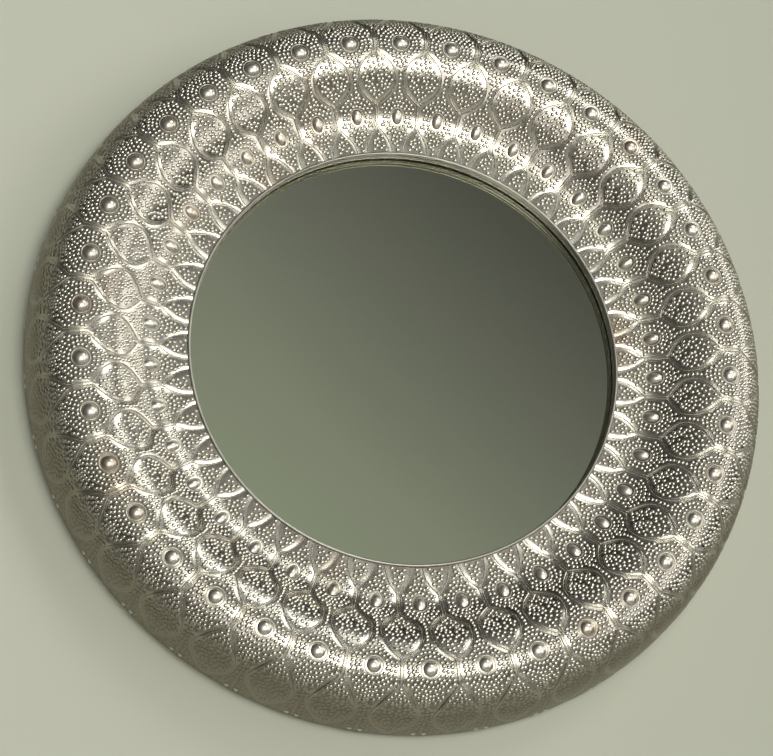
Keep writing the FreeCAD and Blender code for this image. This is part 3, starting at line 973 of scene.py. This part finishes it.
class Shader:
    """Material with its nodes."""

    def __init__(self, name, **constants):
        self.material = bpy.data.materials.new(name)
        self.material.use_nodes = True
        self.tree = self.material.node_tree
        self.surface = self.tree.nodes["Principled BSDF"]
        for socket, value in constants.items():
            self.surface.inputs[socket.replace("_", " ")].default_value = value

    def add(self, kind, settings=None, inputs=None, output=0):
        """Adds a node with its settings and the values or links of its sockets."""
        node = self.tree.nodes.new(kind)
        for key, value in (settings or {}).items():
            setattr(node, key, value)
        for key, value in (inputs or {}).items():
            if isinstance(value, Value):
                self.tree.links.new(value.socket, node.inputs[key])
            else:
                node.inputs[key].default_value = value
        return Value(self, node.outputs[output])

    def set(self, socket, value):
        self.tree.links.new(value.socket, self.surface.inputs[socket])

    def place(self, stretch=(1, 1, 1)):
        """Place on the object, in metres, with each direction stretched."""
        point = self.add("ShaderNodeTexCoord", output="Object")
        return self.add("ShaderNodeVectorMath", {"operation": "MULTIPLY"}, {0: point, 1: stretch})

    def noise(self, scale, detail=3, roughness=0.55, stretch=(1, 1, 1)):
        inputs = {"Vector": self.place(stretch), "Scale": scale}
        inputs.update({"Detail": detail, "Roughness": roughness})
        return self.add("ShaderNodeTexNoise", None, inputs)

    def along(self, vector, direction):
        """How far a vector reaches in a direction."""
        settings = {"operation": "DOT_PRODUCT"}
        return self.add("ShaderNodeVectorMath", settings, {0: vector, 1: direction}, "Value")

    def spread(self, value, low, high):
        """Value stretched so that low becomes 0 and high becomes 1."""
        inputs = {"Value": value, "From Min": low, "From Max": high}
        return self.add("ShaderNodeMapRange", None, inputs)

    def mix(self, part, first, second):
        def tone(value):
            return value if isinstance(value, Value) else (*value, 1)

        inputs = {"Factor": part, 6: tone(first), 7: tone(second)}
        return self.add("ShaderNodeMix", {"data_type": "RGBA"}, inputs, output=2)

    def bump(self, height, strength, distance):
        inputs = {"Height": height, "Strength": strength, "Distance": distance}
        self.set("Normal", self.add("ShaderNodeBump", None, inputs))


# Radii between which the painted shade of the flank begins
FLANK_SHADE = (0.274, 0.292)


def darker(tone, part):
    return [value * part for value in tone]


def named(maker):
    """Makes each material once and gives the same one again afterwards."""
    made = {}

    def give(scene):
        if maker.__name__ not in made:
            made[maker.__name__] = maker(scene.mirror_finish).material
        return made[maker.__name__]

    return give


def embossed_silver(name, finish, copper_low, copper_high, dull):
    """Silvered sheet with tarnish and painted shade in its hollows, painted shade on the flank, and
    copper rubbed through in spots.
    """
    shader = Shader(name, Metallic=1.0)
    relief = shader.add("ShaderNodeAttribute", {"attribute_name": "relief"}, output="Fac")
    patches = shader.noise(14, 4)
    stain = shader.noise(160, 3)
    # Low relief mixes in tarnish and painted shade: the ground between the beads, the feet of beads and
    # ridges, and the moats of the bosses are painted darker
    wear_and_shade = shader.spread(relief + (patches - 0.5) * 0.35 + (stain - 0.5) * 0.3, -0.15, 0.6).held()
    tone = shader.mix(wear_and_shade, finish.patina_and_shade, finish.silver)
    copper = shader.spread(shader.noise(9, 2), copper_low, copper_high).held() * 0.55
    tone = shader.mix(copper, tone, finish.copper)
    from_axis = shader.place((1, 0, 1))
    radius = shader.add("ShaderNodeVectorMath", {"operation": "LENGTH"}, {0: from_axis}, "Value")
    # Painted shade on the flank, darkening the outer side of the sheet towards the rim
    flank = shader.spread(radius + (patches - 0.5) * 0.012, *FLANK_SHADE).held() * 0.72
    shader.set("Base Color", shader.mix(flank, tone, finish.patina_and_shade))
    shader.set("Roughness", dull - wear_and_shade * 0.07 + (stain - 0.5) * 0.08 + flank * 0.25)
    shader.bump(shader.noise(900, 2), 0.07, 0.0002)
    return shader


@named
def sheet_metal(finish):
    return embossed_silver("embossed_silver", finish, 0.62, 0.8, 0.27)


@named
def boss_metal(finish):
    return embossed_silver("boss_silver", finish, 0.5, 0.72, 0.4)


@named
def liner_metal(finish):
    shader = Shader("liner_band", Metallic=1.0)
    streaks = shader.noise(40, 3, stretch=(1, 12, 1))
    shader.set("Base Color", shader.mix(streaks, darker(finish.liner, 0.55), finish.liner))
    shader.set("Roughness", 0.26 + streaks * 0.18)
    shader.bump(shader.noise(700, 2), 0.15, 0.0002)
    return shader


@named
def clear_glass(finish):
    shader = Shader("pane_glass", Roughness=0.0, IOR=1.5, Transmission_Weight=1.0)
    specks = shader.spread(shader.noise(260, 2), 0.74, 0.8).held() * 0.12
    shader.set("Base Color", shader.mix(specks, finish.glass, (0.75, 0.8, 0.75)))
    return shader


@named
def mirror_silver(finish):
    shader = Shader("pane_silvering", Metallic=1.0, Roughness=0.015)
    haze = shader.noise(5, 3)
    clouded = darker(finish.silvering, 0.86)
    shader.set("Base Color", shader.mix(haze * 0.3, finish.silvering, clouded))
    return shader


def board_shader(name, tone, dark, scale, stretch, rough, bump):
    shader = Shader(name)
    grain = shader.noise(scale, 6, 0.65, stretch)
    shader.set("Base Color", shader.mix(grain, darker(tone, dark), tone))
    shader.set("Roughness", rough + (grain - 0.5) * 0.2)
    shader.bump(shader.noise(scale * 4, 3, 0.6, stretch), bump, 0.0004)
    return shader


@named
def fibreboard(finish):
    return board_shader("fibreboard", finish.fibreboard, 0.72, 420, (1, 1, 1), 0.8, 0.3)


@named
def birch_ply(finish):
    shader = Shader("birch_plywood")
    grain = shader.noise(60, 6, 0.65, (1, 1, 9))
    plies = shader.add(
        "ShaderNodeTexWave",
        {"wave_type": "BANDS", "bands_direction": "Y", "wave_profile": "SIN"},
        {"Vector": shader.place(), "Scale": 190.0, "Distortion": 0.6, "Detail": 1.0},
        output="Fac",
    )
    normal = shader.add("ShaderNodeNewGeometry", output="Normal")
    sideways = 1 - shader.along(normal, AXIS) ** 2
    face = shader.mix(grain, darker(finish.birch, 0.78), finish.birch)
    edge = shader.mix(plies, darker(finish.birch, 0.42), finish.birch)
    shader.set("Base Color", shader.mix(sideways.held(), face, edge))
    shader.set("Roughness", 0.62 + grain * 0.15)
    shader.bump(grain, 0.25, 0.0005)
    return shader


@named
def padding_card(finish):
    return board_shader("padding_card", finish.card, 0.8, 200, (1, 1, 1), 0.85, 0.2)


@named
def hardboard(finish):
    return board_shader("hardboard", finish.hardboard, 0.7, 320, (1, 1, 1), 0.55, 0.35)


@named
def cork(finish):
    return board_shader("cork", finish.cork, 0.45, 500, (1, 1, 1), 0.85, 0.5)


@named
def zinc_steel(finish):
    shader = Shader("zinc_plated_steel", Metallic=1.0)
    cloud = shader.noise(180, 4)
    shader.set("Base Color", shader.mix(cloud, darker(finish.zinc, 0.7), finish.zinc))
    shader.set("Roughness", 0.28 + cloud * 0.22)
    shader.bump(shader.noise(1200, 2), 0.12, 0.0001)
    return shader


@named
def pin_metal(finish):
    shader = Shader("pin_metal", Metallic=1.0)
    cloud = shader.noise(300, 3)
    shader.set("Base Color", shader.mix(cloud, darker(finish.silver, 0.75), finish.silver))
    shader.set("Roughness", 0.22 + cloud * 0.15)
    return shader


@named
def rubber(finish):
    return board_shader("rubber", finish.rubber, 0.6, 300, (1, 1, 1), 0.75, 0.3)


class MIRROR_OT_solids(bpy.types.Operator):
    """Give every solid that stays in view its finish."""

    bl_idname = "wall_mirror.solids"
    bl_label = "Finishes"

    def execute(self, context):
        nodes = {
            sheet_metal: ["embossed_cover"],
            liner_metal: ["sight_liner"],
            mirror_silver: ["mirror_glass"],
            fibreboard: ["core_front_ring", "core_middle_ring", "core_lip_ring"],
            birch_ply: ["back_ring"],
            cork: ["glass_spacers"],
            padding_card: ["padding_board"],
            hardboard: ["backing_board"],
            rubber: ["wall_bumpers"],
            pin_metal: ["rim_pins", "liner_pins"],
            zinc_steel: ["turn_button_%d" % number for number in range(1, 5)]
            + ["turn_button_screws", "hanger_strap", "hanger_ring", "hanger_screws"]
            + ["ring_screws", "cover_tacks"],
        }
        finishes = {name: finish for finish, names in nodes.items() for name in names}
        for name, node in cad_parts.items():
            node.data.materials.clear()
            node.data.materials.append(finishes[name](context.scene))
        return {"FINISHED"}


# Stage: hole in the wall behind the mirror, how far the wall reaches against it, and its gap
WALL_HOLE = 0.294
WALL_REACH = 14
WALL_GAP = 0.0006
FLOOR_HALF_WIDTH = 4
FLOOR_MIDDLE = -3.9
# Stretch of the wall from left to right over which painted shade darkens it, and how far painted light
# lightens and painted shade darkens it
WALL_STRETCH = (-0.35, 0.35)
WALL_LIGHT = 1.15
WALL_DARK = 0.83
SENSOR_WIDTH = 36
NEUTRAL = (1.0, 1.0, 1.0)


def wall_paint(stage):
    shader = Shader("wall_paint", Roughness=0.9)
    mottle = shader.noise(3, 3) * 0.06
    right = shader.along(shader.place(), (1, 0, 0))
    # Painted light on the left of the wall and painted shade on its right
    shade = shader.spread(right, *WALL_STRETCH).held() * 0.94 + mottle
    light, dark = darker(stage.wall, WALL_LIGHT), darker(stage.wall, WALL_DARK)
    shader.set("Base Color", shader.mix(shade, light, dark))
    shader.bump(shader.noise(500, 3), 0.06, 0.0003)
    clear = shader.add("ShaderNodeBsdfTransparent")
    behind = shader.add("ShaderNodeNewGeometry", output="Backfacing")
    surface = Value(shader, shader.surface.outputs[0])
    seen = shader.add("ShaderNodeMixShader", None, {0: behind, 1: surface, 2: clear})
    output = shader.tree.nodes["Material Output"]
    shader.tree.links.new(seen.socket, output.inputs["Surface"])
    return shader.material


def floor_paint(stage):
    shader = Shader("floor_paint", Roughness=0.7)
    mottle = shader.noise(2, 4)
    shader.set("Base Color", shader.mix(mottle, darker(stage.floor, 0.95), stage.floor))
    return shader.material


def add_object(name, data):
    piece = bpy.data.objects.new(name, data)
    bpy.context.scene.collection.objects.link(piece)
    return piece


def stage_piece(name, builder, material):
    mesh = bpy.data.meshes.new(name)
    builder.to_mesh(mesh)
    builder.free()
    mesh.materials.append(material)
    return add_object(name, mesh)


# Lights: azimuth and elevation from the wall's normal in degrees, width and height in metres,
# share of the window's power, and colour
LAMPS = {
    "front_light": (8, -2, 1.0, 0.9, 2.0, (1.0, 0.97, 0.9)),
    "window": (44, 0, 0.8, 1.8, 0.9, (1.0, 0.97, 0.93)),
    "high_window": (32, 36, 0.8, 0.8, 0.9, (0.97, 1.0, 0.94)),
    "side_window": (72, 22, 0.8, 1.2, 0.7, (1.0, 1.0, 0.95)),
    "low_light": (-14, -20, 0.8, 0.8, 0.3, (1.0, 0.95, 0.95)),
}
BACK_PLACE = Vector((0.8, 1.6, 0.8))
BACK_SIZE = 1.2
# Direction of the brighter part of the room, and cosines of the angles where it ends and peaks
GLOW_DIRECTION = (-0.035, -0.999, 0.035)
GLOW_END = 0.89
GLOW_PEAK = 1.0
# Strength of the room, and what the glow adds to it
ROOM_STRENGTH = 0.8
GLOW_STRENGTH = 1.4
# Direction of a darker corner of the room, and cosines of the angles where it ends and is darkest
CORNER_DIRECTION = (0.36, -0.8, 0.48)
CORNER_END = 0.955
CORNER_MIDDLE = 0.999
CORNER_SHADE = 0.45


def lamp(name, place, width, height, watts, tone):
    """Soft light that faces the mirror."""
    data = bpy.data.lights.new(name, "AREA")
    data.shape = "RECTANGLE"
    data.size, data.size_y = width, height
    data.energy, data.color = watts, tone
    light = add_object(name, data)
    light.location = place
    light.rotation_euler = (-place).to_track_quat("-Z", "Y").to_euler()


class RoomShader(Shader):
    """World with its nodes."""

    def __init__(self, name):
        self.world = bpy.data.worlds.new(name)
        self.world.use_nodes = True
        self.tree = self.world.node_tree
        self.surface = self.tree.nodes["Background"]

    def towards(self, direction):
        """Cosine of the angle between a direction and the one that is looked in."""
        return self.along(self.add("ShaderNodeTexCoord", output="Generated"), direction)


def dim_room(stage):
    """World that is brightest straight in front of the wall and dark behind it."""
    shader = RoomShader("room")
    front = shader.towards(-AXIS).combine("MAXIMUM", 0.04)
    glow = shader.spread(shader.towards(GLOW_DIRECTION), GLOW_END, GLOW_PEAK).held()
    shader.set("Color", shader.mix(glow, stage.room, stage.glow))
    corner = shader.spread(shader.towards(CORNER_DIRECTION), CORNER_END, CORNER_MIDDLE).held()
    strength = front * (ROOM_STRENGTH + GLOW_STRENGTH * glow)
    shader.set("Strength", strength * (1 - CORNER_SHADE * corner))
    return shader.world


class MIRROR_OT_stage(bpy.types.Operator):
    """Add the wall, the floor, the lights and the camera."""

    bl_idname = "wall_mirror.stage"
    bl_label = "Stage"

    def execute(self, context):
        stage = context.scene.mirror_stage
        builder = bmesh.new()
        bmesh.ops.create_circle(builder, cap_ends=False, segments=96, radius=WALL_HOLE)
        ring = bmesh.ops.extrude_edge_only(builder, edges=builder.edges[:])
        outer = [item for item in ring["geom"] if isinstance(item, bmesh.types.BMVert)]
        bmesh.ops.scale(builder, vec=(WALL_REACH, WALL_REACH, 1), verts=outer)
        matrix = Matrix.Translation((0, WALL_GAP, 0)) @ Matrix.Rotation(math.pi / 2, 4, "X")
        bmesh.ops.transform(builder, matrix=matrix, verts=builder.verts)
        for face in builder.faces:
            face.normal_update()
            if face.normal.y > 0:
                face.normal_flip()
        wall = stage_piece("wall", builder, wall_paint(stage))
        builder = bmesh.new()
        bmesh.ops.create_grid(builder, x_segments=1, y_segments=1, size=FLOOR_HALF_WIDTH)
        floor = stage_piece("floor", builder, floor_paint(stage))
        floor.location = (0, FLOOR_MIDDLE, stage.floor_height)

        context.scene.world = dim_room(stage)
        for name, (azimuth, elevation, width, height, part, tone) in LAMPS.items():
            aside, above = math.radians(azimuth), math.radians(elevation)
            level = Vector((math.sin(aside), -math.cos(aside), 0)) * math.cos(above)
            place = (level + Vector((0, 0, math.sin(above)))) * stage.lamp_distance
            lamp(name, place, width, height, stage.window_power * part, tone)
        lamp("back", BACK_PLACE, BACK_SIZE, BACK_SIZE, stage.back_power, NEUTRAL)

        data = bpy.data.cameras.new("camera")
        data.lens = stage.lens
        data.sensor_width = SENSOR_WIDTH
        data.sensor_fit = "HORIZONTAL"
        camera = add_object("camera", data)
        camera.location = stage.camera
        camera.rotation_euler = Vector(stage.view).to_track_quat("-Z", "Y").to_euler()
        context.scene.camera = camera
        context.scene.view_settings.view_transform = "Standard"
        return {"FINISHED"}


class MIRROR_PT_panel(bpy.types.Panel):
    """Lists the pieces of the mirror."""

    bl_label = "Wall Mirror"
    bl_idname = "MIRROR_PT_panel"
    bl_space_type = "VIEW_3D"
    bl_region_type = "UI"
    bl_category = "Wall Mirror"

    def draw(self, context):
        for operator in OPERATORS:
            self.layout.operator(operator.bl_idname)
        for name in SETTINGS:
            settings = getattr(context.scene, name)
            box = self.layout.box()
            for key in settings.__annotations__:
                box.prop(settings, key)


SETTINGS = {
    "mirror_moulding": MouldingSettings,
    "mirror_lattice": LatticeSettings,
    "mirror_beads": BeadSettings,
    "mirror_bosses": BossSettings,
    "mirror_ridges": RidgeSettings,
    "mirror_pane": PaneSettings,
    "mirror_finish": FinishSettings,
    "mirror_stage": StageSettings,
}
OPERATORS = [
    MIRROR_OT_skin,
    MIRROR_OT_beads,
    MIRROR_OT_bosses,
    MIRROR_OT_ridges,
    MIRROR_OT_pane,
    MIRROR_OT_solids,
    MIRROR_OT_stage,
]


def register():
    for kind in [*SETTINGS.values(), *OPERATORS, MIRROR_PT_panel]:
        bpy.utils.register_class(kind)
    for name, group in SETTINGS.items():
        setattr(bpy.types.Scene, name, bpy.props.PointerProperty(type=group))


def unregister():
    for name in SETTINGS:
        delattr(bpy.types.Scene, name)
    for kind in reversed([*SETTINGS.values(), *OPERATORS, MIRROR_PT_panel]):
        bpy.utils.unregister_class(kind)


def main():
    register()
    bpy.ops.wall_mirror.solids()
    bpy.ops.wall_mirror.skin()
    bpy.ops.wall_mirror.beads()
    bpy.ops.wall_mirror.bosses()
    bpy.ops.wall_mirror.ridges()
    bpy.ops.wall_mirror.pane()
    bpy.ops.wall_mirror.stage()


if __name__ == "__main__":
    main()
